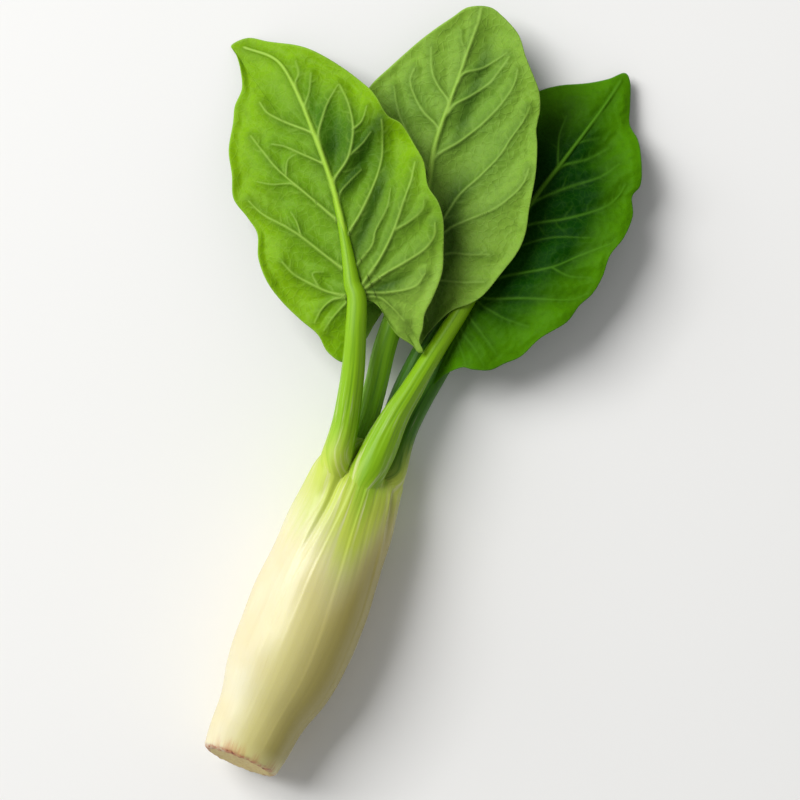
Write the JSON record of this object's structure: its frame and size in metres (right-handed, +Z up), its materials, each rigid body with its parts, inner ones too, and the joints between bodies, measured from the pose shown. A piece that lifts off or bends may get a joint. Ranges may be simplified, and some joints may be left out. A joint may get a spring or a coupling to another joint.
{
  "type": "taro shoot",
  "caption": "Young taro shoot lying on its side: a swollen pale base cut across, green leaf stalks and heart-shaped blades with raised veins, undersides up.",
  "frame": {"origin": "on the surface the shoot lies on, under the middle of the whole shoot's footprint", "axes": "+Y along the shoot from the cut end to the leaves, +Z up, +X to the right seen from above with the leaves away from the viewer"},
  "size_m": [0.1578, 0.2886, 0.0389],
  "materials": {
    "shoot_base": "moist blanched plant flesh, cream, smooth, finely ribbed lengthwise, satin",
    "stalk_left": "fresh leaf stalk, yellow-green, ribbed lengthwise, satin",
    "stalk_middle": "fresh leaf stalk, yellow-green, ribbed lengthwise, satin",
    "stalk_right": "fresh leaf stalk, yellow-green, ribbed lengthwise, satin",
    "young_leaf": "fresh rolled leaf and its stalk, dark green, satin",
    "stalk_rear": "fresh trimmed leaf stalk, dark green, satin",
    "blade_left": "fresh leaf underside, vivid green, raised pale veins, satin",
    "blade_middle": "fresh leaf underside, grey-green, raised pale veins, satin",
    "blade_right": "fresh leaf underside, deep green, flat paler veins, satin"
  },
  "bodies": {
    "root": {"shoot_base": "shoot_base", "stalk_left": "stalk_left", "stalk_middle": "stalk_middle", "stalk_right": "stalk_right", "young_leaf": "young_leaf", "stalk_rear": "stalk_rear", "blade_left": "blade_left", "blade_middle": "blade_middle", "blade_right": "blade_right"}
  },
  "joints": []
}
